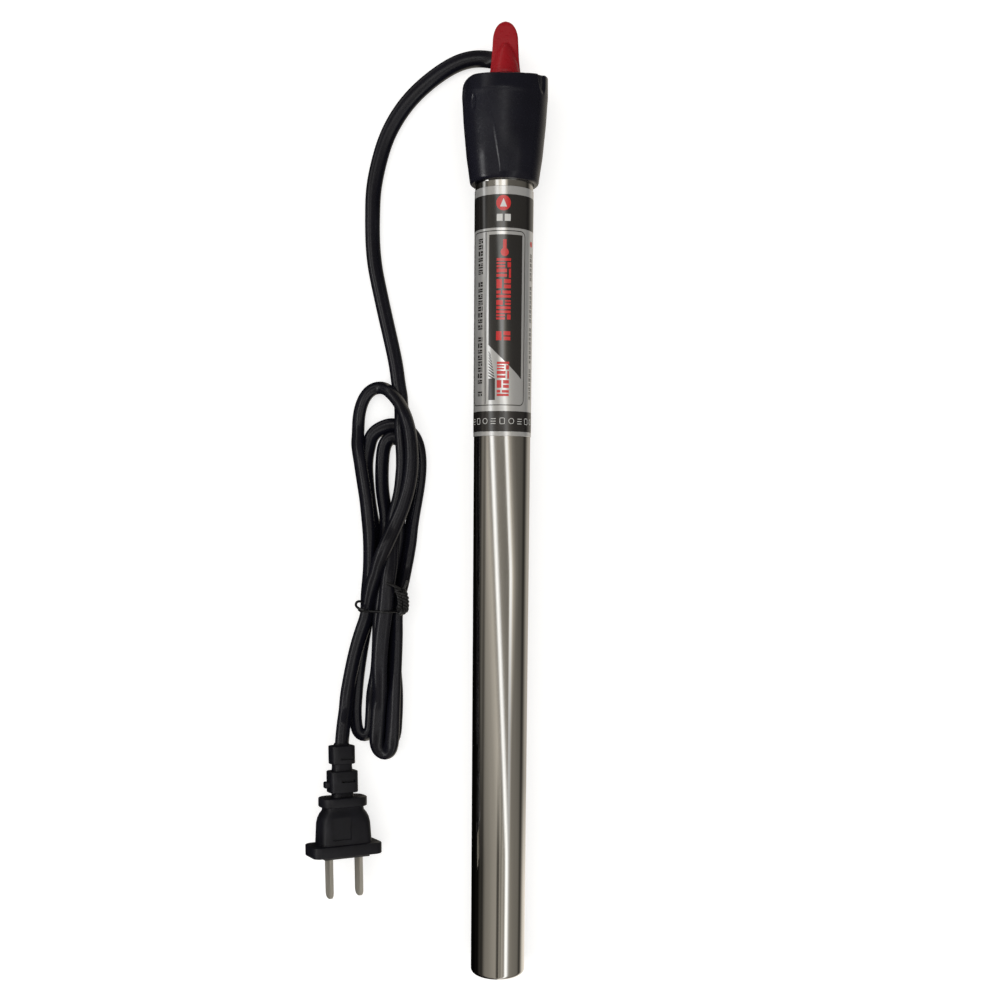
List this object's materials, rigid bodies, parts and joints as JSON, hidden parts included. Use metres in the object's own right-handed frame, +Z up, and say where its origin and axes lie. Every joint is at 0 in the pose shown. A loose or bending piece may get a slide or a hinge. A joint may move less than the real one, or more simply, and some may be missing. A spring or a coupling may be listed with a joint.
{
  "type": "submersible aquarium heater",
  "caption": "Stainless tube aquarium heater with a black head, a red temperature knob that turns, an inner thermostat and a mains cord folded into a tied hank with its plug.",
  "frame": {"origin": "centre of the heater's footprint on the surface it lies on, cord and plug not counted", "axes": "+Y along the tube towards the head, +Z up from the surface, the cord's hank on the -X side"},
  "size_m": [0.0936, 0.3697, 0.0323],
  "materials": {
    "stainless": "polished stainless tube with fine lengthwise drawing lines",
    "label_film": "satin silver printed polyester film",
    "label_black": "black print on the label film",
    "label_red": "red print on the label film",
    "label_white": "white print on the label film",
    "head_plastic": "black moulded plastic, satin to glossy",
    "black_rubber": "matt black rubber",
    "red_plastic": "deep red moulded plastic, slightly translucent",
    "brass": "turned brass",
    "spring_steel": "bright spring steel",
    "phenolic": "cream moulded phenolic",
    "silver_contact": "silver contact alloy",
    "bimetal": "bimetal strip",
    "ferrite": "dark sintered ferrite",
    "lamp_glass": "clear lamp glass with an orange glow gap",
    "resistor_body": "lacquered resistor body",
    "capacitor_case": "dipped capacitor case",
    "ceramic": "unglazed ceramic",
    "resistance_wire": "oxidised resistance wire",
    "quartz_sand": "packed quartz sand",
    "mica": "laminated mica",
    "fibre_pad": "ceramic fibre pad",
    "brown_insulation": "brown wire insulation",
    "blue_insulation": "blue wire insulation",
    "white_sleeving": "white glass-fibre sleeving",
    "tinned_copper": "tinned copper crimp",
    "cord_pvc": "black satin PVC cord sheath",
    "tie_plastic": "black plastic-coated wire",
    "plug_pvc": "matt black moulded PVC",
    "plug_insert": "hard black insert",
    "nickel": "nickel-plated brass"
  },
  "bodies": {
    "root": {"sheath_tube": "stainless", "label_sleeve": "label_film", "head_cap": "head_plastic", "seal_plug": "black_rubber", "cord_gland": "black_rubber", "adjusting_nut": "brass", "thermostat_frame": "phenolic", "rocker_pin": "spring_steel", "rocker_spring": "spring_steel", "bimetal_foot": "spring_steel", "snap_magnet": "ferrite", "frame_rivets": "brass", "neon_lamp": "lamp_glass", "lamp_resistor": "resistor_body", "noise_capacitor": "capacitor_case", "thermal_fuse": "ceramic", "heater_core": "ceramic", "heating_coil": "resistance_wire", "sand_fill": "quartz_sand", "lower_spacer": "ceramic", "upper_spacer": "ceramic", "mica_barrier": "mica", "bottom_pad": "fibre_pad", "live_wire": "brown_insulation", "neutral_wire": "blue_insulation", "fuse_lead": "white_sleeving", "rocker_lead": "white_sleeving", "wire_crimps": "tinned_copper", "cord_lead": "cord_pvc", "cord_hank": "cord_pvc", "cord_tail": "cord_pvc", "twist_tie": "tie_plastic", "plug_strain_relief": "plug_pvc", "plug_body": "plug_pvc", "plug_bridge": "plug_insert", "plug_blades": "nickel"},
    "knob": {"temperature_knob": "red_plastic", "knob_spindle": "brass", "spindle_o_ring": "black_rubber", "spindle_clip": "spring_steel", "adjusting_screw": "brass"},
    "rocker": {"contact_rocker": "brass", "rocker_contact": "silver_contact"},
    "bimetal": {"bimetal_strip": "bimetal", "bimetal_contact": "silver_contact", "armature_plate": "spring_steel"}
  },
  "joints": [
    {"name": "knob_turn", "type": "hinge", "parent": "root", "child": "knob", "pos_m": [0, 0.16423, 0.01622], "axis": [0, 0.9999, 0.0151], "range_deg": [-135, 135]},
    {"name": "rocker_tilt", "type": "hinge", "parent": "root", "child": "rocker", "pos_m": [0, 0.11631, 0.0105], "axis": [1, 0, 0], "range_deg": [-2.2, 2.2]},
    {"name": "bimetal_bend", "type": "hinge", "parent": "root", "child": "bimetal", "pos_m": [0, 0.04727, 0.01306], "axis": [1, 0, 0], "range_deg": [-0.5, 2], "stiffness_Nm_per_rad": 0.3}
  ],
  "couplings": [
    {"joint": "rocker_tilt", "follows": "knob_turn", "ratio": -0.015915}
  ]
}
